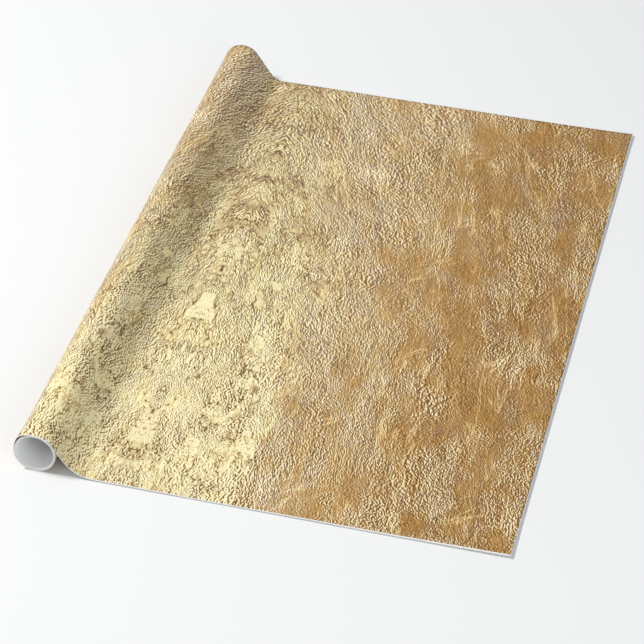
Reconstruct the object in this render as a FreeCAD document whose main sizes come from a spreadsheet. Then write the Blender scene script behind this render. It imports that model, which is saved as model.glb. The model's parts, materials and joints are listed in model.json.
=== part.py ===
import FreeCAD, Part
import Sketcher
import math
import os

# A printed gift wrap roll lying on a table with its outer end unrolled.
# The roll's axis runs along Y, and the free paper leaves over the top and lies out towards +X.
# The origin is under the middle of the whole object, on the table. Millimetres.

doc = FreeCAD.newDocument("wrapping_paper_roll")

dims = doc.addObject("Spreadsheet::Sheet", "dims")
drivingSizes = [
    ("sheetwidth", 737.0),    # width of the paper, along the roll's axis
    ("paperthick", 0.12),     # one thickness of paper
    ("rollradius", 20.6),     # outside of the outermost turn
    ("turngap", 0.1),         # slack between the outermost turn and the ones it slips over
    ("coreradius", 19.05),    # outside of the paperboard core
    ("corewall", 0.7),        # wall of the core
    ("corerecess", 1.0),      # how far each end of the core sits inside the paper's edge
    ("tapethick", 0.1),       # double-sided strip that holds the paper's inner end to the core
    ("tapewide", 12.0),       # width of that strip, round the core
    ("tapelong", 100.0),      # length of that strip, along the core
    ("tapeangle", 218.0),     # where the middle of the strip is, in degrees round the roll
    ("leaveangle", 35.0),     # where the paper leaves the roll, in degrees above its +X side
    ("nipangle", 330.0),      # where the outermost turn slips under the free paper
    ("footradius", 37.5),     # bend where the free paper comes down onto the table
    ("reach", 455.0),         # from the roll's axis to the paper's free edge
]
for row, (alias, value) in enumerate(drivingSizes, start=1):
    dims.set(f"A{row}", alias)
    dims.set(f"B{row}", str(value))
    dims.setAlias(f"B{row}", alias)
doc.recompute()

size = {alias: dims.get(alias) for alias, value in drivingSizes}
coilX = "-(dims.reach - dims.rollradius) / 2"
innerTurn = "dims.coreradius + dims.tapethick"
coreLength = "dims.sheetwidth - 2 * dims.corerecess"
# the run down touches the roll's arc and the foot's arc, so their centres are one sum of radii apart
# across it, and the foot is this far from the roll's axis
bothRadii = "(dims.rollradius + dims.footradius)"
leave = "dims.leaveangle * 1 deg"
fall = f"({bothRadii} * sin({leave}) + dims.rollradius - dims.paperthick - dims.footradius)"
footX = f"{bothRadii} * cos({leave}) + {fall} * tan({leave})"


def onCoilAxis(obj):
    """Stands an object that is drawn round the origin on the roll's axis."""
    obj.setExpression("Placement.Base.x", coilX)
    obj.setExpression("Placement.Base.z", "dims.rollradius")


def endSketch(body, name):
    """An empty sketch on the body's XZ plane, which looks along the roll."""
    sketch = body.newObject("Sketcher::SketchObject", name)
    plane = next(f for f in body.Origin.OriginFeatures if f.Role == "XZ_Plane")
    sketch.AttachmentSupport = [(plane, "")]
    sketch.MapMode = "FlatFace"
    return sketch


def drive(sketch, index, name, expression):
    """Names a constraint of the sketch and binds it to the sheet."""
    sketch.renameConstraint(index, name)
    sketch.setExpression(f"Constraints.{name}", expression)


def padAlongRoll(body, sketch, length):
    """Pads the sketch both ways from the middle of the roll."""
    pad = body.newObject("PartDesign::Pad", f"{body.Name}_pad")
    pad.Profile = sketch
    pad.SideType = "Symmetric"
    pad.setExpression("Length", length)
    body.Tip = pad


def atAngle(radius, degrees):
    """A point of the sketch at a radius and angle from its origin."""
    turn = math.radians(degrees)
    return FreeCAD.Vector(radius * math.cos(turn), radius * math.sin(turn), 0)


def arcOf(centre, radius, first, last):
    """An arc of a sketch, anticlockwise from one angle to the other, in degrees."""
    circle = Part.Circle(centre, FreeCAD.Vector(0, 0, 1), radius)
    return Part.ArcOfCircle(circle, math.radians(first), math.radians(last))


def addTube(name, outerRadius, innerRadius, length):
    """A tube on the roll's axis, from two circles in one sketch."""
    body = doc.addObject("PartDesign::Body", name)
    body.Label = name
    sketch = endSketch(body, f"{name}_section")
    centre = FreeCAD.Vector(0, 0, 0)
    for label, expression in (("outer", outerRadius), ("inner", innerRadius)):
        circle = Part.Circle(centre, FreeCAD.Vector(0, 0, 1), size["coreradius"])
        ring = sketch.addGeometry(circle, False)
        sketch.addConstraint(Sketcher.Constraint("Coincident", ring, 3, -1, 1))
        radius = sketch.addConstraint(Sketcher.Constraint("Radius", ring, size["coreradius"]))
        drive(sketch, radius, label, expression)
    padAlongRoll(body, sketch, length)
    onCoilAxis(body)
    return body


def addStartTape():
    """The strip between the core and the first turn: a sector of a thin ring."""
    body = doc.addObject("PartDesign::Body", "start_tape")
    body.Label = "start_tape"
    sketch = endSketch(body, "start_tape_section")
    under = size["coreradius"]
    over = under + size["tapethick"]
    half = math.degrees(size["tapewide"] / under) / 2
    first = size["tapeangle"] - half
    last = size["tapeangle"] + half
    centre = FreeCAD.Vector(0, 0, 0)
    top = sketch.addGeometry(arcOf(centre, over, first, last), False)
    bottom = sketch.addGeometry(arcOf(centre, under, first, last), False)
    sideA = sketch.addGeometry(Part.LineSegment(atAngle(under, first), atAngle(over, first)), False)
    sideB = sketch.addGeometry(Part.LineSegment(atAngle(under, last), atAngle(over, last)), False)
    for one, end, other, otherEnd in (
        (top, 3, -1, 1), (bottom, 3, -1, 1),
        (sideA, 1, bottom, 1), (sideA, 2, top, 1),
        (sideB, 1, bottom, 2), (sideB, 2, top, 2),
    ):
        sketch.addConstraint(Sketcher.Constraint("Coincident", one, end, other, otherEnd))
    for side in (sideA, sideB):
        sketch.addConstraint(Sketcher.Constraint("PointOnObject", -1, 1, side))
    radius = sketch.addConstraint(Sketcher.Constraint("Radius", bottom, under))
    drive(sketch, radius, "under", "dims.coreradius")
    radius = sketch.addConstraint(Sketcher.Constraint("Radius", top, over))
    drive(sketch, radius, "over", innerTurn)
    halfTurn = "dims.tapewide / dims.coreradius * 90 / pi"
    for label, side, degrees, sign in (("sideA", sideA, first, "-"), ("sideB", sideB, last, "+")):
        angle = sketch.addConstraint(Sketcher.Constraint("Angle", side, math.radians(degrees)))
        drive(sketch, angle, label, f"(dims.tapeangle {sign} {halfTurn}) * 1 deg")
    padAlongRoll(body, sketch, "dims.tapelong")
    onCoilAxis(body)
    return body


def addLeadOff():
    """The outermost turn and the paper that runs from it down to the table, one even thickness.

    Its section is an arc round the roll, a straight run down at the angle at which the
    paper leaves, and an arc the other way that ends flat on the table.
    """
    body = doc.addObject("PartDesign::Body", "lead_off")
    body.Label = "lead_off"
    sketch = endSketch(body, "lead_off_section")
    thick = size["paperthick"]
    outer = size["rollradius"]
    bend = size["footradius"]
    leaving = size["leaveangle"]
    nip = size["nipangle"]
    table = -outer
    rollCentre = FreeCAD.Vector(0, 0, 0)
    slope = math.radians(leaving)
    height = table + thick + bend
    across = (outer + bend) * math.cos(slope) + ((outer + bend) * math.sin(slope) - height) * math.tan(slope)
    footCentre = FreeCAD.Vector(across, height, 0)
    facing = leaving + 180

    top = sketch.addGeometry(arcOf(rollCentre, outer, leaving, nip), False)
    runTop = sketch.addGeometry(
        Part.LineSegment(atAngle(outer, leaving), footCentre + atAngle(bend, facing)), False)
    footTop = sketch.addGeometry(arcOf(footCentre, bend, facing, 270), False)
    footEnd = sketch.addGeometry(
        Part.LineSegment(footCentre + atAngle(bend, 270), footCentre + atAngle(bend + thick, 270)), False)
    footUnder = sketch.addGeometry(arcOf(footCentre, bend + thick, facing, 270), False)
    runUnder = sketch.addGeometry(
        Part.LineSegment(atAngle(outer - thick, leaving), footCentre + atAngle(bend + thick, facing)), False)
    under = sketch.addGeometry(arcOf(rollCentre, outer - thick, leaving, nip), False)
    nipEnd = sketch.addGeometry(
        Part.LineSegment(atAngle(outer, nip), atAngle(outer - thick, nip)), False)

    for one, end, other, otherEnd in (
        (top, 3, -1, 1), (under, 3, -1, 1), (footUnder, 3, footTop, 3),
        (top, 2, nipEnd, 1), (under, 2, nipEnd, 2),
        (footTop, 2, footEnd, 1), (footUnder, 2, footEnd, 2),
    ):
        sketch.addConstraint(Sketcher.Constraint("Coincident", one, end, other, otherEnd))
    for one, end, other, otherEnd in (
        (top, 1, runTop, 1), (runTop, 2, footTop, 1),
        (under, 1, runUnder, 1), (runUnder, 2, footUnder, 1),
    ):
        sketch.addConstraint(Sketcher.Constraint("Tangent", one, end, other, otherEnd))
    sketch.addConstraint(Sketcher.Constraint("Vertical", footTop, 3, footTop, 2))
    sketch.addConstraint(Sketcher.Constraint("Vertical", footEnd))
    sketch.addConstraint(Sketcher.Constraint("PointOnObject", -1, 1, nipEnd))

    for label, kind, values, expression in (
        ("outside", "Radius", (top, outer), "dims.rollradius"),
        ("inside", "Radius", (under, outer - thick), "dims.rollradius - dims.paperthick"),
        ("bendTop", "Radius", (footTop, bend), "dims.footradius"),
        ("bendUnder", "Radius", (footUnder, bend + thick), "dims.footradius + dims.paperthick"),
        ("drop", "DistanceY", (footTop, 2, -1, 1, outer - thick), "dims.rollradius - dims.paperthick"),
        ("slope", "Angle", (runTop, math.radians(leaving - 90)), "dims.leaveangle * 1 deg - 90 deg"),
        ("nip", "Angle", (nipEnd, math.radians(nip - 180)), "dims.nipangle * 1 deg - 180 deg"),
    ):
        index = sketch.addConstraint(Sketcher.Constraint(kind, *values))
        drive(sketch, index, label, expression)
    padAlongRoll(body, sketch, "dims.sheetwidth")
    onCoilAxis(body)
    return body


def addLaidSheet():
    """The flat paper from the bend's foot to the free edge, flat on the table."""
    sheet = doc.addObject("Part::Box", "laid_sheet")
    sheet.Label = "laid_sheet"
    sheet.setExpression("Length", f"dims.reach - ({footX})")
    sheet.setExpression("Width", "dims.sheetwidth")
    sheet.setExpression("Height", "dims.paperthick")
    sheet.setExpression("Placement.Base.x", f"{coilX} + {footX}")
    sheet.setExpression("Placement.Base.y", "-dims.sheetwidth / 2")
    return sheet


nodes = [
    addTube("core_tube", "dims.coreradius", "dims.coreradius - dims.corewall", coreLength),
    addStartTape(),
    addTube("wound_turns", "dims.rollradius - dims.paperthick - dims.turngap", innerTurn, "dims.sheetwidth"),
    addLeadOff(),
    addLaidSheet(),
]
doc.recompute()

for obj in doc.Objects:
    bad = {"Invalid", "Error"} & set(obj.State)
    if bad:
        raise RuntimeError(f"{obj.Name} is {', '.join(sorted(bad))}")
for node in nodes:
    if node.Shape.isNull() or not node.Shape.isValid() or not node.Shape.Solids:
        raise RuntimeError(f"{node.Label} has no valid solid")

os.makedirs("parts", exist_ok=True)
for node in nodes:
    node.Shape.exportStep(f"parts/{node.Label}.step")
    box = node.Shape.BoundBox
    print(f"{node.Label}: {node.Shape.Volume:.0f} mm3, "
          f"x {box.XMin:.2f} to {box.XMax:.2f}, y {box.YMin:.2f} to {box.YMax:.2f}, "
          f"z {box.ZMin:.2f} to {box.ZMax:.2f}")
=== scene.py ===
import bmesh
import bpy
import json
import math
from mathutils import Matrix, Vector


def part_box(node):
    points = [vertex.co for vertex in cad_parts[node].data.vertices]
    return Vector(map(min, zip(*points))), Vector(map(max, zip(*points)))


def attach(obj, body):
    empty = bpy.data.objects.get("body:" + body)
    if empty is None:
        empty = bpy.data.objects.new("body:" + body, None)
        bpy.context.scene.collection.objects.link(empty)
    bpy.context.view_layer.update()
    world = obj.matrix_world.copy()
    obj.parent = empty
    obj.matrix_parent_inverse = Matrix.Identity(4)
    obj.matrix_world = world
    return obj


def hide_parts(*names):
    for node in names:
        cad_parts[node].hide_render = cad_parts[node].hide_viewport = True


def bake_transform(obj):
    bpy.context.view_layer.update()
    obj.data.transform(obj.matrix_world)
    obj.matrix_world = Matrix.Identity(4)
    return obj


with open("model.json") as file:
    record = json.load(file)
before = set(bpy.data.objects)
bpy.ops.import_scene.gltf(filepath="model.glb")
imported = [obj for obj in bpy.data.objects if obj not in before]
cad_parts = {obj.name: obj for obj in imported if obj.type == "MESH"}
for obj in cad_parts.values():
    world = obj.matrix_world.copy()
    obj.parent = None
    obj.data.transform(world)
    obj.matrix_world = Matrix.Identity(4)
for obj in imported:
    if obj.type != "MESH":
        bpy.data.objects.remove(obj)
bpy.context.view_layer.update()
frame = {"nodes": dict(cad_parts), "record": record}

# the roll lies along Y on the table, and its paper leaves over the top towards +X
bore = next(m for m in frame["record"]["mounts"] if m["name"] == "core_bore")
laidLow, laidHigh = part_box("laid_sheet")
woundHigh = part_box("wound_turns")[1]
coreLow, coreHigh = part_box("core_tube")
rollX = bore["pos_m"][0]
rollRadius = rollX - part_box("lead_off")[0].x
footX = laidLow.x
frontY = laidLow.y
backY = laidHigh.y
paperWide = backY - frontY
print("frame: roll radius", round(rollRadius, 4), "foot", round(footX, 4), "edge", round(laidHigh.x, 4))


camera = {
    "azimuth": 12.835, "elevation": 36.774, "roll": 1.95,   # degrees
    "distance": 2.6788, "lens": 147.61, "sensor": 36, "near": 0.05, "far": 60,
    "target": (-0.0144, -0.0677, 0.0),
}


def addCamera():
    azimuth, elevation, roll = (math.radians(camera[k]) for k in ("azimuth", "elevation", "roll"))
    back = Vector((math.sin(azimuth) * math.cos(elevation), -math.cos(azimuth) * math.cos(elevation),
                   math.sin(elevation)))
    right = Vector((0, 0, 1)).cross(back).normalized()
    up = back.cross(right)
    axes = Matrix((right, up, back)).transposed().to_4x4()
    data = bpy.data.cameras.new("studioCamera")
    data.lens = camera["lens"]
    data.sensor_width = camera["sensor"]
    data.clip_start, data.clip_end = camera["near"], camera["far"]
    eye = bpy.data.objects.new("studioCamera", data)
    bpy.context.collection.objects.link(eye)
    place = Matrix.Translation(Vector(camera["target"]) + back * camera["distance"])
    eye.matrix_world = place @ axes @ Matrix.Rotation(roll, 4, "Z")
    bpy.context.scene.camera = eye


studio = {
    "skyStrength": 0.460, "skyColor": (0.97, 0.985, 1.0),
    "keyWatts": 112, "keySize": 0.8, "keyColor": (1, 0.995, 0.985), "keyPlace": (-2.6, -0.35, 3.2),
    "fillWatts": 14, "fillSize": 1.6, "fillColor": (0.94, 0.97, 1.0), "fillPlace": (1.6, -2.2, 1.1),
    "floorSize": 30, "floorColor": (0.90, 0.905, 0.905), "floorDrop": 0.0002,
    "floorDull": 0.7, "floorShine": 0.2,
}


def addAreaLight(name, watts, size, color, place):
    data = bpy.data.lights.new(name, "AREA")
    data.shape = "DISK"
    data.energy, data.size, data.color = watts, size, color
    lamp = bpy.data.objects.new(name, data)
    bpy.context.collection.objects.link(lamp)
    lamp.location = place
    lamp.rotation_mode = "QUATERNION"
    lamp.rotation_quaternion = Vector(place).to_track_quat("Z", "Y")


def addStudio():
    world = bpy.data.worlds.new("studioSky")
    world.use_nodes = True
    sky = world.node_tree.nodes["Background"]
    sky.inputs["Color"].default_value = (*studio["skyColor"], 1)
    sky.inputs["Strength"].default_value = studio["skyStrength"]
    bpy.context.scene.world = world
    for name in ("key", "fill"):
        addAreaLight(name, *(studio[name + part] for part in ("Watts", "Size", "Color", "Place")))
    bm = bmesh.new()
    bmesh.ops.create_grid(bm, x_segments=1, y_segments=1, size=studio["floorSize"] / 2)
    bmesh.ops.translate(bm, verts=bm.verts, vec=(0, 0, -studio["floorDrop"]))
    floor = finishMesh(bm, "floor", [])
    graph = Graph("floorPaint")
    graph.finish({"Base Color": (*studio["floorColor"], 1), "Roughness": studio["floorDull"],
                  "Specular IOR Level": studio["floorShine"]})
    floor.data.materials.append(graph.material)
    bpy.context.scene.view_settings.view_transform = "Standard"
    bpy.context.scene.view_settings.look = "None"


class Wire:
    # a socket that takes part in sums, so that shader maths reads as ordinary maths
    def __init__(self, graph, socket):
        self.graph = graph
        self.socket = socket

    def math(self, operation, *others):
        inputs = dict(enumerate((self, *others)))
        return self.graph.add("ShaderNodeMath", {"operation": operation}, inputs)

    def __add__(self, other):
        return self.math("ADD", other)

    def __sub__(self, other):
        return self.math("SUBTRACT", other)

    def __mul__(self, other):
        return self.math("MULTIPLY", other)

    def __truediv__(self, other):
        return self.math("DIVIDE", other)

    def __rsub__(self, other):
        return self.graph.add("ShaderNodeMath", {"operation": "SUBTRACT"}, {0: other, 1: self})

    __radd__ = __add__
    __rmul__ = __mul__

    def rise(self, low, high):
        # 0 below low and 1 above high, smoothly
        return self.graph.add("ShaderNodeMapRange", {"interpolation_type": "SMOOTHSTEP"},
                              {"Value": self, "From Min": low, "From Max": high})

    def ramp(self, low, high, start=0.0, end=1.0):
        # a straight ramp that stops at both ends
        return self.graph.add("ShaderNodeMapRange", {}, {
            "Value": self, "From Min": low, "From Max": high, "To Min": start, "To Max": end})


class Graph:
    def __init__(self, name):
        self.material = bpy.data.materials.new(name)
        self.material.use_nodes = True
        self.tree = self.material.node_tree
        self.tree.nodes.clear()

    def add(self, kind, settings, inputs, output=0):
        node = self.tree.nodes.new(kind)
        for key, value in settings.items():
            if key == "stops":
                fillRamp(node.color_ramp, value)
            else:
                setattr(node, key, value)
        for key, value in inputs.items():
            if isinstance(value, Wire):
                self.tree.links.new(value.socket, node.inputs[key])
            else:
                node.inputs[key].default_value = value
        return Wire(self, node.outputs[output]) if node.outputs else None

    def mixColors(self, factor, first, second, blend="MIX"):
        # the colour sockets of a Mix node come after its number and vector ones
        return self.add("ShaderNodeMix", {"data_type": "RGBA", "blend_type": blend},
                        {0: factor, 6: first, 7: second}, 2)

    def split(self, vector, count=2):
        parts = self.add("ShaderNodeSeparateXYZ", {}, {0: vector}).socket.node
        return [Wire(self, parts.outputs[k]) for k in range(count)]

    def grain(self, name, x, y, step=0.0):
        # one layer of the print at a place, or at a step beside it, which is a share of a grain
        long, wide, layer, detail, roughness = grains[name]
        x, y = x / wide, y / long
        if step:
            x, y = x + step, y + step * pattern["stepSlant"]
        place = self.add("ShaderNodeCombineXYZ", {}, {0: x, 1: y, 2: layer})
        return self.add("ShaderNodeTexNoise", {}, {
            "Vector": place, "Scale": 1.0, "Detail": detail, "Roughness": roughness})

    def fibre(self, place, scale, detail):
        # noise through the solid, in grains to a metre
        return self.add("ShaderNodeTexNoise", {}, {"Vector": place, "Scale": scale, "Detail": detail})

    def finish(self, values, height=None, depth=0.0):
        # height is a pattern from 0 to 1 that stands depth metres proud
        if height is not None:
            bump = self.add("ShaderNodeBump", {}, {"Height": height, "Distance": depth})
            values = {**values, "Normal": bump}
        shader = self.add("ShaderNodeBsdfPrincipled", {}, values)
        self.add("ShaderNodeOutputMaterial", {}, {"Surface": shader})
        return self.material


def fillRamp(ramp, stops):
    while len(ramp.elements) < len(stops):
        ramp.elements.new(0.5)
    for element, (position, color) in zip(ramp.elements, stops):
        element.position = position
        element.color = (*linear(color), 1)


def linear(color):
    # screen colour, 0 to 255, to the shader's linear light
    shares = [c / 255 for c in color]
    return tuple(c / 12.92 if c <= 0.04045 else ((c + 0.055) / 1.055) ** 2.4 for c in shares)


def finishMesh(bm, name, materials):
    mesh = bpy.data.meshes.new(name)
    bm.to_mesh(mesh)
    bm.free()
    piece = bpy.data.objects.new(name, mesh)
    bpy.context.collection.objects.link(piece)
    for material in materials:
        mesh.materials.append(material)
    return piece


goldPrint = {
    "mirrorX": -0.1369, "panelWide": 0.40,       # the pattern mirrors at this line and repeats in panels
    "frontMargin": 0.0012, "cornerMargin": 0.0022, "edgeMargin": 0.0010,   # unprinted at the cut edges
    "widening": (-0.02, 0.20), "marginBlur": 0.0001,       # where the front margin widens to the corner's
    "bare": (0.88, 0.88, 0.87), "shine": 0.25,
    "smooth": 0.38, "dull": 0.50, "toothDeep": 0.000006,
    "purple": (156, 130, 122),
    "creamTint": (1.02, 1.08, 1.0, 1), "goldenTint": (1.02, 0.90, 0.60, 1),
    # two golds from their darkest fleck to their lightest, as screen colours
    "tan": [(0.0, (108, 76, 46)), (0.13, (137, 103, 65)), (0.27, (162, 129, 86)), (0.41, (181, 151, 106)),
            (0.51, (193, 166, 123)), (0.68, (213, 189, 144)), (0.82, (231, 209, 164)),
            (0.95, (246, 228, 184)), (1.0, (252, 237, 198))],
    "rich": [(0.0, (120, 82, 42)), (0.15, (150, 112, 62)), (0.24, (166, 126, 71)), (0.30, (176, 137, 80)),
             (0.40, (189, 153, 98)), (0.54, (209, 178, 129)), (0.73, (234, 207, 159)),
             (0.95, (252, 239, 196))],
}

# nearly all of a noise lies between the first two, and most of it between the closer two
noiseEnds = (0.3, 0.7)
noiseMiddle = (0.35, 0.65)

# each layer of the print: how long and wide its grains are, in metres, its slice, octaves and roughness
grains = {
    "driftAcross": (0.16, 0.13, 1.3, 2.0, 0.5), "driftAlong": (0.12, 0.10, 7.9, 2.0, 0.5),
    "ragged": (0.024, 0.012, 3.1, 5.0, 0.6), "blotch": (0.060, 0.018, 11.7, 4.0, 0.6),
    "plates": (0.045, 0.017, 33.3, 4.0, 0.55), "calm": (0.085, 0.040, 21.3, 5.0, 0.6),
    "tint": (0.07, 0.030, 71.0, 3.0, 0.5), "yellow": (0.050, 0.022, 91.0, 5.0, 0.6),
    "fine": (0.0022, 0.0014, 5.5, 0.0, 0.5), "medium": (0.0170, 0.0066, 8.5, 4.0, 0.70),
    "crumple": (0.050, 0.015, 15.1, 3.0, 0.55), "dense": (0.030, 0.014, 43.0, 3.0, 0.5),
    "specks": (0.0030, 0.0019, 41.7, 0.0, 0.5), "crackle": (0.017, 0.0062, 62.0, 3.0, 0.6),
    "wrinkle": (0.010, 0.07, 51.0, 2.0, 0.5), "wrinklePlace": (0.06, 0.06, 55.0, 2.0, 0.5),
    "pleat": (0.110, 0.0110, 58.0, 2.0, 0.5), "pleatPlace": (0.090, 0.030, 59.0, 2.0, 0.5),
    "crack": (0.050, 0.0085, 61.0, 2.0, 0.5), "crackPlace": (0.030, 0.014, 65.0, 2.0, 0.5),
    "cluster": (0.055, 0.030, 81.0, 3.0, 0.5),
    "tooth": (0.0011, 0.0011, 3.7, 2.0, 0.5), "cloud": (0.05, 0.03, 9.1, 3.0, 0.5),
}

# how the layers make up the print. Two numbers are where something starts and ends, and two more are
# its values there. Places are metres from the mirror line (s) or from the paper's middle (v).
pattern = {
    "stepSlant": 0.15,                           # how much of a lighting step runs along the streaks
    "wander": 0.045, "wanderAlong": 0.06,        # how far the drifts move the finer layers
    "sweep": 0.30, "sweepFade": 2.6, "lean": 0.2,    # how the streaks swing away from the mirror line
    "creamReach": (0.30, -0.02, 0.030, 0.1165), "creamWander": 0.05, "creamRagged": 0.035,
    "creamSoft": (-0.235, -0.14, 0.0035, 0.080), "creamTone": (0.32, -0.15, 0.07, 0.45),
    "shoreLine": (0.2, 1.4, 1.0, 0.0), "shoreFront": (-0.16, -0.24), "shoreDark": 0.16,
    "bottleEdge": (-0.052, -0.088, 0.0072, 0.0150), "bottleRagged": 0.010, "bottleSharp": 7.0,
    "bottleTop": (-0.052, -0.046), "topCut": 0.02, "bottleFoot": (-0.095, -0.110), "footCut": 0.5,
    "plateLevel": 0.56, "plateEdge": (0.0, 0.010), "plateOutline": (0.006, 0.014, 1.0, 0.0),
    "plateLight": 0.05, "plateCalm": 0.85, "outlineDark": 0.7,
    "calm": (0.40, 0.58), "roughCalm": 0.55, "roughLeast": 0.55, "roughSmooth": 0.28, "roughYellow": 0.35,
    "richPlace": (0.07, 0.21), "richPatch": 2.4, "roughRich": (-0.10, 0.30, 0.0, 0.30),
    "tonePlace": (0.10, 0.27, 0.51, 0.275), "blotch": 0.95, "blotchRich": 0.6,
    "yellow": (0.50, 0.62), "yellowCream": 0.3, "goldenYellow": 0.3, "goldenSmooth": 0.32,
    "crumplePlace": (0.0, 0.05), "crumpleStep": 0.30, "crumple": 0.80,
    "light": 1.05, "shade": 1.1, "shadeRich": 0.4,
    "dense": (0.40, 0.60), "specks": (0.36, 0.27), "specksCream": 0.5, "specksLeast": 0.2,
    "crackle": (0.02, 0.055), "crackleCream": 0.34, "crackleLeast": 0.08,
    "wrinkle": (0.0, 0.035), "wrinklePlace": (0.54, 0.66), "wrinkleTurn": (0.75, 0.66),
    "pleat": (0.0, 0.030), "pleatPlace": (0.50, 0.58), "pleatLight": 0.34, "pleatCream": 0.7,
    "crack": (0.0, 0.024), "crackPlace": (0.54, 0.60), "crackDark": 0.50,
    "cluster": (0.42, 0.58), "clusterShade": (0.0, 0.22),
    "clusterMost": 0.5, "clusterRich": 0.30, "clusterCream": 0.20, "creamTinted": (0.25, 0.60),
}

# the crinkles: the step that lights a layer, its strength, and how much weaker it is in cream and in rich
crinkles = {"fine": (0.60, 4.6, 0.9, 1.1), "medium": (0.14, 2.9, 0.7, 0.4)}


def bentPlace(graph, s, v):
    # the place across and along the streaks, which slow drifts bend and which sweep away from the
    # mirror line towards the back
    drift = graph.grain("driftAcross", s, v) - 0.5
    driftAlong = graph.grain("driftAlong", s, v) - 0.5
    fromFront = v - frontY
    swing = (1 - s * pattern["sweepFade"]).math("MAXIMUM", 0.0) * pattern["sweep"]
    across = s + drift * pattern["wander"] + fromFront * fromFront * swing + s * fromFront * pattern["lean"]
    return drift, across, v + driftAlong * pattern["wanderAlong"]


def creamPlace(s, v, drift, ragged):
    # the gold is cream beside the mirror line, wider and paler towards the front, with a dark shore there
    reach = v.ramp(*pattern["creamReach"]) + drift * pattern["creamWander"]
    inland = (reach - s + ragged * pattern["creamRagged"]) / v.ramp(*pattern["creamSoft"])
    shore = inland.math("ABSOLUTE").ramp(*pattern["shoreLine"]) * v.rise(*pattern["shoreFront"])
    return (inland + 0.5).ramp(0.0, 1.0), shore


def smoothPlates(s, v, ragged, plates, cream):
    # smooth plates with a dark outline in the cream, one of them bottle-shaped on the mirror line
    bottle = v.ramp(*pattern["bottleEdge"]) - s + ragged * pattern["bottleRagged"]
    bottle = (bottle - v.rise(*pattern["bottleTop"]) * pattern["topCut"]) * pattern["bottleSharp"]
    bottle = bottle - v.rise(*pattern["bottleFoot"]) * pattern["footCut"]
    deep = (plates - pattern["plateLevel"]).math("MAXIMUM", bottle)
    outline = deep.math("ABSOLUTE").ramp(*pattern["plateOutline"])
    return deep.rise(*pattern["plateEdge"]) * cream, outline * cream


def thread(layer, low, high):
    # a thin line where a layer passes its middle
    return (layer - 0.5).math("ABSOLUTE").ramp(low, high, 1.0, 0.0)


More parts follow.
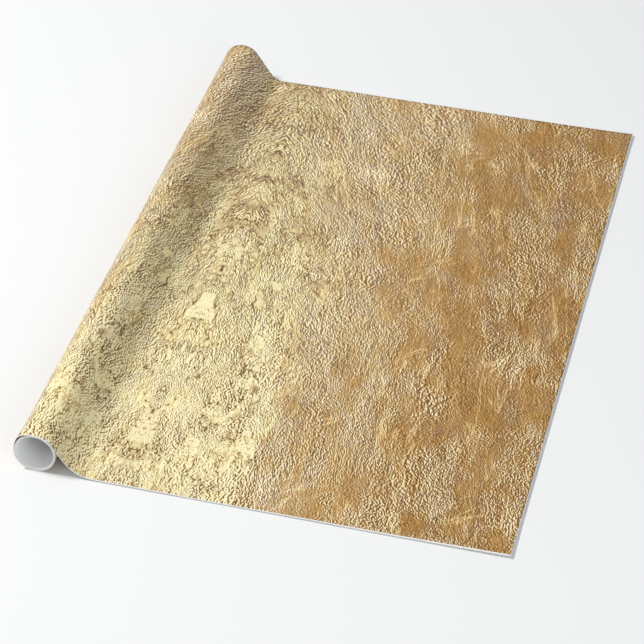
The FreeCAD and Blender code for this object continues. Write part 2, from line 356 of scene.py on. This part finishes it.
def goldPattern(graph, u, v):
    # the printed crinkled gold, from the distance u along the paper and v across it, in metres
    s = (u - goldPrint["mirrorX"]).math("PINGPONG", goldPrint["panelWide"])
    drift, across, along = bentPlace(graph, s, v)

    def streaks(name, step=0.0):
        return graph.grain(name, across, along, step)

    def relief(name, step):
        # lit from one side: light where the crumple rises towards the light and dark where it falls
        return streaks(name) - streaks(name, step)

    ragged = streaks("ragged") - 0.5
    cream, shore = creamPlace(s, v, drift, ragged)
    plate, outline = smoothPlates(s, v, ragged, streaks("plates"), cream)

    # how light, how rich, how yellow and how rough the gold is from place to place
    calm = streaks("calm").rise(*pattern["calm"])
    patches = (streaks("tint") - 0.5) * pattern["richPatch"]
    richness = (s.ramp(*pattern["richPlace"]) + patches).ramp(0.0, 1.0)
    tone = s.ramp(*pattern["tonePlace"]) + cream * v.ramp(*pattern["creamTone"])
    tone = tone + (streaks("blotch") - 0.5) * (pattern["blotch"] - richness * pattern["blotchRich"])
    yellow = streaks("yellow").rise(*pattern["yellow"]) * (1 - cream * pattern["yellowCream"])
    smooth = (1 - calm) * richness
    rough = calm * pattern["roughCalm"] + pattern["roughLeast"] - smooth * pattern["roughSmooth"]
    rough = rough * (1 - plate * pattern["plateCalm"]) * (1 - yellow * pattern["roughYellow"])
    rough = rough * (1 - richness * v.ramp(*pattern["roughRich"]))

    # the crinkles, with dark specks and fine crackle
    crumple = s.rise(*pattern["crumplePlace"]) * pattern["crumple"]
    grain = relief("crumple", pattern["crumpleStep"]) * crumple
    for name, (step, strength, lessCream, lessRich) in crinkles.items():
        grain = grain + relief(name, step) * (strength - cream * lessCream - richness * lessRich)
    lit = grain.math("MAXIMUM", 0.0)
    shade = (0 - grain).math("MAXIMUM", 0.0)
    dense = streaks("dense").rise(*pattern["dense"])
    specks = streaks("specks").rise(*pattern["specks"])
    specks = specks * (dense * cream * pattern["specksCream"] + pattern["specksLeast"])
    crackle = thread(streaks("crackle"), *pattern["crackle"]) * dense
    crackle = crackle * (cream * pattern["crackleCream"] + pattern["crackleLeast"])
    t = tone + plate * pattern["plateLight"] + lit * rough * pattern["light"]
    t = t - shade * rough * (pattern["shade"] - richness * pattern["shadeRich"])
    t = t - specks - crackle - outline * pattern["outlineDark"]

    # a few long pale wrinkles and pleats, and dark cracks in the cream
    turnS, turnV = pattern["wrinkleTurn"]
    turned = s * turnS + v * turnV, s * turnV - v * turnS
    wrinkle = thread(graph.grain("wrinkle", *turned), *pattern["wrinkle"])
    wrinkle = wrinkle * graph.grain("wrinklePlace", s, v).rise(*pattern["wrinklePlace"])
    pleat = thread(streaks("pleat"), *pattern["pleat"]) * streaks("pleatPlace").rise(*pattern["pleatPlace"])
    crack = thread(streaks("crack"), *pattern["crack"]) * streaks("crackPlace").rise(*pattern["crackPlace"])
    t = t + (wrinkle + pleat) * (1 - cream * pattern["pleatCream"]) * pattern["pleatLight"]
    t = t - crack * cream * pattern["crackDark"] - shore * pattern["shoreDark"]

    # patches of yellower gold, and clusters where the shaded grain turns a purplish grey
    golden = yellow * pattern["goldenYellow"] + smooth * pattern["goldenSmooth"]
    cluster = pattern["clusterMost"] - richness * pattern["clusterRich"] - cream * pattern["clusterCream"]
    shaded = shade.ramp(*pattern["clusterShade"]) * streaks("cluster").rise(*pattern["cluster"])
    shaded = shaded * (1 - yellow) * cluster
    tan = graph.add("ShaderNodeValToRGB", {"stops": goldPrint["tan"]}, {0: t})
    rich = graph.add("ShaderNodeValToRGB", {"stops": goldPrint["rich"]}, {0: t})
    color = graph.mixColors(richness, tan, rich)
    tinted = cream * t.ramp(*pattern["creamTinted"])
    color = graph.mixColors(tinted, color, goldPrint["creamTint"], "MULTIPLY")
    color = graph.mixColors(golden, color, goldPrint["goldenTint"], "MULTIPLY")
    return graph.mixColors(shaded, color, (*linear(goldPrint["purple"]), 1))


def printedPaper(graph, u, v):
    color = goldPattern(graph, u, v)
    margin = u.ramp(*goldPrint["widening"], goldPrint["frontMargin"], goldPrint["cornerMargin"])
    blur = goldPrint["marginBlur"]
    inFront = (v - frontY - margin).rise(-blur, blur)
    inEdge = (laidHigh.x - goldPrint["edgeMargin"] - u).rise(-blur, blur)
    color = graph.mixColors(inFront * inEdge, (*goldPrint["bare"], 1), color)
    # the coating is glossier in some places than in others, and the sheet has a faint tooth
    gloss = graph.grain("cloud", u, v).ramp(*noiseMiddle, goldPrint["smooth"], goldPrint["dull"])
    values = {"Base Color": color, "Roughness": gloss, "Specular IOR Level": goldPrint["shine"]}
    return graph.finish(values, graph.grain("tooth", u, v), goldPrint["toothDeep"])


def webPaper(name):
    # the wound and leaving paper carries its print by the distance along it
    graph = Graph(name)
    web = graph.add("ShaderNodeUVMap", {"uv_map": "web"}, {})
    return printedPaper(graph, *graph.split(web))


def laidPaper(name):
    # the laid paper stays where it is on the table while the roll travels, so it reads its place
    graph = Graph(name)
    place = graph.add("ShaderNodeTexCoord", {}, {}, "Object")
    return printedPaper(graph, *graph.split(place))


bare = {
    "back": ((0.88, 0.88, 0.87), 0.6), "cut": ((0.90, 0.90, 0.89), 0.7),    # colour and roughness
    "fibreScale": 700.0, "fibreDeep": 0.00001, "fibreDull": 0.97, "shine": 0.3,
}


def whitePaper(name, color, roughness):
    graph = Graph(name)
    place = graph.add("ShaderNodeTexCoord", {}, {}, "Object")
    fibre = graph.fibre(place, bare["fibreScale"], 4.0)
    dull = tuple(c * bare["fibreDull"] for c in color)
    shade = graph.mixColors(fibre.ramp(*noiseMiddle), (*dull, 1), (*color, 1))
    values = {"Base Color": shade, "Roughness": roughness, "Specular IOR Level": bare["shine"]}
    return graph.finish(values, fibre, bare["fibreDeep"])


board = {
    "color": (0.93, 0.93, 0.92), "seam": (0.60, 0.57, 0.52),
    "pitch": 0.058, "seamWide": 0.010,           # metres along the tube in a turn, and share of a turn
    "fibreScale": 700.0, "mottleScale": 60.0, "fibreDeep": 0.00003, "fibreDull": 0.94, "shine": 0.3,
    "seamDark": 0.8, "seamDeep": 2.0, "smooth": 0.70, "dull": 0.82,
}


def spiralBoard(name):
    # paperboard wound in a spiral, so its butted seam runs round the tube as a helix
    graph = Graph(name)
    place = graph.add("ShaderNodeTexCoord", {}, {}, "Object")
    x, y, z = graph.split(place, 3)
    turn = (x - rollX).math("ARCTAN2", z - rollRadius) / (2 * math.pi)
    seam = (turn + y / board["pitch"]).math("FRACT").ramp(0.0, board["seamWide"], 1.0, 0.0)
    fibre = graph.fibre(place, board["fibreScale"], 5.0)
    mottle = graph.fibre(place, board["mottleScale"], 3.0)
    dull = tuple(c * board["fibreDull"] for c in board["color"])
    color = graph.mixColors(fibre.ramp(*noiseEnds), (*dull, 1), (*board["color"], 1))
    color = graph.mixColors(seam * board["seamDark"], color, (*board["seam"], 1))
    rough = mottle.ramp(*noiseMiddle, board["smooth"], board["dull"])
    values = {"Base Color": color, "Roughness": rough, "Specular IOR Level": board["shine"]}
    return graph.finish(values, fibre - seam * board["seamDeep"], board["fibreDeep"])


tape = {
    "color": (0.78, 0.74, 0.62), "cloud": (0.88, 0.87, 0.82),
    "weave": 0.0011, "weaveDeep": 0.00001, "hazeScale": 240.0, "smooth": 0.22, "dull": 0.40,
    "cloudLeast": 0.2, "cloudHaze": 0.5, "cloudScrim": 0.1,
}


def glueTape(name):
    # cloudy double-sided tape with a fine scrim in it
    graph = Graph(name)
    place = graph.add("ShaderNodeTexCoord", {}, {}, "Object")
    x, y, z = graph.split(place, 3)
    scrim = (y / tape["weave"]).math("SINE") * ((x + z) / tape["weave"]).math("SINE")
    haze = graph.fibre(place, tape["hazeScale"], 3.0)
    cloud = haze.ramp(*noiseMiddle) * tape["cloudHaze"] + scrim * tape["cloudScrim"] + tape["cloudLeast"]
    color = graph.mixColors(cloud, (*tape["color"], 1), (*tape["cloud"], 1))
    rough = haze.ramp(*noiseEnds, tape["smooth"], tape["dull"])
    return graph.finish({"Base Color": color, "Roughness": rough}, scrim, tape["weaveDeep"])


web = {
    "thick": 0.00011,
    "cell": 0.004,                               # size of the mesh's cells where the paper is flat
    "bendCell": 0.0014, "bendRow": 0.008,        # and where it is bent, round the bend and along it
    "frontLift": 0.0011, "freeLift": 0.0017, "backLift": 0.0008, "liftReach": 0.022,
    "ripple": 0.00012, "rippleAlong": 41, "rippleAcross": 17, "rippleBend": 9,     # radians to a metre
    "frontBend": 0.0375, "backBend": 0.020,      # radius where the paper comes down on the table
    "leave": 35.0, "nip": 330.0,                 # degrees round the roll
    "looseStart": 84.0, "looseEnd": 172.0, "looseGap": 0.0021, "looseDeep": 0.035,
    "looseRows": (0.03, 0.1, 0.2, 0.4, 0.7),     # extra rows of cells, as shares of that depth
}


def edgeLift(u, y):
    # a cut sheet curls up a little at its edges and lies down in its middle
    front = web["frontLift"] * math.exp(-(y - frontY) / web["liftReach"])
    back = web["backLift"] * math.exp(-(backY - y) / web["liftReach"])
    free = web["freeLift"] * math.exp(-(laidHigh.x - u) / (2 * web["liftReach"]))
    wave = math.sin(u * web["rippleAlong"] + 2 * math.sin(y * web["rippleBend"]))
    ripple = web["ripple"] * (1 + wave * math.cos(y * web["rippleAcross"]))
    return front + back + free + ripple


def webGrid(uStart, uEnd, uCells, yCells, place, edgeRows=()):
    # a flat grid whose UV map holds each point's distance along and across the paper, bent by place
    bm = bmesh.new()
    uvLayer = bm.loops.layers.uv.new("web")
    bmesh.ops.create_grid(bm, x_segments=uCells, y_segments=yCells, size=0.5)
    bmesh.ops.scale(bm, verts=bm.verts, vec=(uEnd - uStart, paperWide, 1))
    bmesh.ops.translate(bm, verts=bm.verts, vec=((uStart + uEnd) / 2, (frontY + backY) / 2, 0))
    for y in edgeRows:
        geometry = bm.verts[:] + bm.edges[:] + bm.faces[:]
        bmesh.ops.bisect_plane(bm, geom=geometry, plane_co=(0, y, 0), plane_no=(0, 1, 0))
    for face in bm.faces:
        face.smooth = True
        for loop in face.loops:
            loop[uvLayer].uv = loop.vert.co.xy
    for vert in bm.verts:
        vert.co = place(vert.co.x, vert.co.y)
    return bm


def thicken(piece):
    # the printed face stays where it is, and the paper's thickness goes behind it
    wall = piece.modifiers.new("paperThickness", "SOLIDIFY")
    wall.thickness = web["thick"]
    wall.offset = -1
    wall.material_offset = 1
    wall.material_offset_rim = 2
    wall.use_even_offset = True


def layPlace(u, y):
    return Vector((u, y, web["thick"] + edgeLift(u, y)))


def bendRadius(y):
    share = (y - frontY) / paperWide
    return web["frontBend"] + (web["backBend"] - web["frontBend"]) * share


def bendAt(y):
    # where and how steeply the paper leaves the roll, its straight run down and its bend on the table
    leave = math.radians(web["leave"])
    drop = math.pi / 2 - leave
    bend = bendRadius(y)
    leaveX = rollX + rollRadius * math.cos(leave)
    bendTop = web["thick"] + bend * (1 - math.cos(drop))
    run = (rollRadius + rollRadius * math.sin(leave) - bendTop) / math.sin(drop)
    bendEndX = leaveX + run * math.cos(drop) + bend * math.sin(drop)
    return leave, drop, bend, leaveX, bendTop, run, bendEndX


def leadPlace(u, y):
    # from the foot back up the ramp and round the roll, by the distance still to go
    leave, drop, bend, leaveX, bendTop, run, bendEndX = bendAt(y)
    lift = edgeLift(u, y)
    togo = footX - u
    flat = footX - bendEndX
    if togo <= flat:
        return Vector((u, y, web["thick"] + lift))
    togo -= flat
    if togo <= bend * drop:
        turn = togo / bend
        z = web["thick"] + bend * (1 - math.cos(turn))
        fade = math.cos(turn * math.pi / 2 / drop) ** 2
        return Vector((bendEndX - bend * math.sin(turn), y, z + lift * fade))
    togo -= bend * drop
    if togo <= run:
        return Vector((leaveX + (run - togo) * math.cos(drop), y, bendTop + togo * math.sin(drop)))
    turn = leave + (togo - run) / rollRadius
    radius = rollRadius + looseTurn(math.degrees(turn), y)
    return Vector((rollX + radius * math.cos(turn), y, rollRadius + radius * math.sin(turn)))


def looseTurn(degrees, y):
    # at the front end the outermost turn stands off the others for part of the way round
    if not web["looseStart"] < degrees < web["looseEnd"]:
        return 0.0
    swell = math.sin((degrees - web["looseStart"]) / (web["looseEnd"] - web["looseStart"]) * math.pi)
    fade = max(0.0, 1 - (y - frontY) / web["looseDeep"])
    return web["looseGap"] * swell * swell * fade


def leadLength(y):
    # from the foot back to where the paper leaves the roll
    _, drop, bend, _, _, run, bendEndX = bendAt(y)
    return footX - bendEndX + bend * drop + run


def addLaidSheet():
    length = laidHigh.x - footX
    cells = round(length / web["cell"]), round(paperWide / web["cell"])
    bm = webGrid(footX, laidHigh.x, *cells, layPlace)
    piece = finishMesh(bm, "laidSheet", [goldLaid, paperBack, paperCut])
    thicken(piece)
    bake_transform(piece)
    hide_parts("laid_sheet")


def addLeadOff():
    turnLong = math.radians(web["nip"] - web["leave"]) * rollRadius
    # every row of cells ends at the nip, so the distance along is stretched a hair row by row
    longest = leadLength(frontY) + turnLong

    def place(u, y):
        share = (footX - u) / longest
        return leadPlace(footX - share * (leadLength(y) + turnLong), y)

    rows = [frontY + web["looseDeep"] * share for share in web["looseRows"]]
    cells = round(longest / web["bendCell"]), round(paperWide / web["bendRow"])
    bm = webGrid(footX - longest, footX, *cells, place, rows)
    piece = finishMesh(bm, "leadOff", [goldWeb, paperBack, paperCut])
    thicken(piece)
    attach(piece, "lead_off")
    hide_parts("lead_off")
    return longest


wound = {
    "turnCells": 64, "gap": 0.000012, "coreGap": 0.0001, "fullTurns": 9,
    "innerEnd": 236.0,                       # degrees round the roll where the paper starts on the core
    "unevenEdge": 0.00025, "unevenDeep": 0.02, "unevenWaves": (0.83, 0.31),
}


def addWoundTurns(leadLong):
    outer = woundHigh.z - rollRadius
    inner = (coreHigh.z - coreLow.z) / 2 + wound["coreGap"]
    start = math.radians(web["nip"])
    turns = wound["fullTurns"] + (wound["innerEnd"] - web["nip"]) % 360 / 360
    pitch = (outer - inner - web["thick"] - wound["gap"]) / turns
    total = turns * 2 * math.pi
    length = total * (outer - pitch * turns / 2)
    uStart = footX - leadLong
    quick, slow = wound["unevenWaves"]

    def place(u, y):
        turn = (uStart - u) / length * total
        angle = start + turn
        radius = outer - pitch * turn / (2 * math.pi)
        # no two turns end quite level
        inset = abs(math.sin(turn * quick) * math.cos(turn * slow + 1)) * wound["unevenEdge"]
        nearEdge = max(0.0, 1 - (paperWide / 2 - abs(y)) / wound["unevenDeep"])
        shift = -math.copysign(inset * nearEdge, y)
        return Vector((rollX + radius * math.cos(angle), y + shift, rollRadius + radius * math.sin(angle)))

    rows = [side + sign * wound["unevenDeep"] for side, sign in ((frontY, 1), (backY, -1))]
    bm = webGrid(uStart - length, uStart, round(turns * wound["turnCells"]), 1, place, rows)
    piece = finishMesh(bm, "woundTurns", [goldWeb, paperBack, paperCut])
    thicken(piece)
    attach(piece, "roll")
    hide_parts("wound_turns")
    print("wound turns:", round(turns, 2), "turns,", round(length, 3), "m of paper")


core = {"steps": 96, "lengths": 25, "edgeRound": 0.00015}


def addCore():
    outer = (coreHigh.z - coreLow.z) / 2
    inner = bore["dims"]["r_mm"] / 1000
    bm = bmesh.new()
    section = [(inner, coreLow.y), (outer, coreLow.y), (outer, coreHigh.y), (inner, coreHigh.y)]
    corners = [bm.verts.new((rollX + radius, y, rollRadius)) for radius, y in section]
    sides = [bm.edges.new((corners[k], corners[(k + 1) % 4])) for k in range(4)]
    bmesh.ops.subdivide_edges(bm, edges=[sides[1], sides[3]], cuts=core["lengths"] - 1)
    bmesh.ops.spin(bm, geom=bm.verts[:] + bm.edges[:], cent=(rollX, 0, rollRadius), axis=(0, 1, 0),
                   angle=2 * math.pi, steps=core["steps"], use_merge=True)
    bmesh.ops.remove_doubles(bm, verts=bm.verts, dist=1e-6)      # metres
    bmesh.ops.recalc_face_normals(bm, faces=bm.faces)
    for face in bm.faces:
        face.smooth = True
    piece = finishMesh(bm, "coreTube", [coreBoard])
    soften = piece.modifiers.new("softEdge", "BEVEL")
    soften.width = core["edgeRound"]
    soften.segments = 2
    soften.limit_method = "ANGLE"
    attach(piece, "roll")
    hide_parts("core_tube")


addCamera()
addStudio()
goldWeb = webPaper("goldWebPrint")
goldLaid = laidPaper("goldLaidPrint")
paperBack = whitePaper("paperBack", *bare["back"])
paperCut = whitePaper("paperCut", *bare["cut"])
coreBoard = spiralBoard("coreBoard")
startTape = glueTape("startTape")
for slot in frame["nodes"]["start_tape"].material_slots:
    slot.material = startTape
print("studio and papers ready")
addLaidSheet()
leadLong = addLeadOff()
addWoundTurns(leadLong)
addCore()
print("paper and core made")
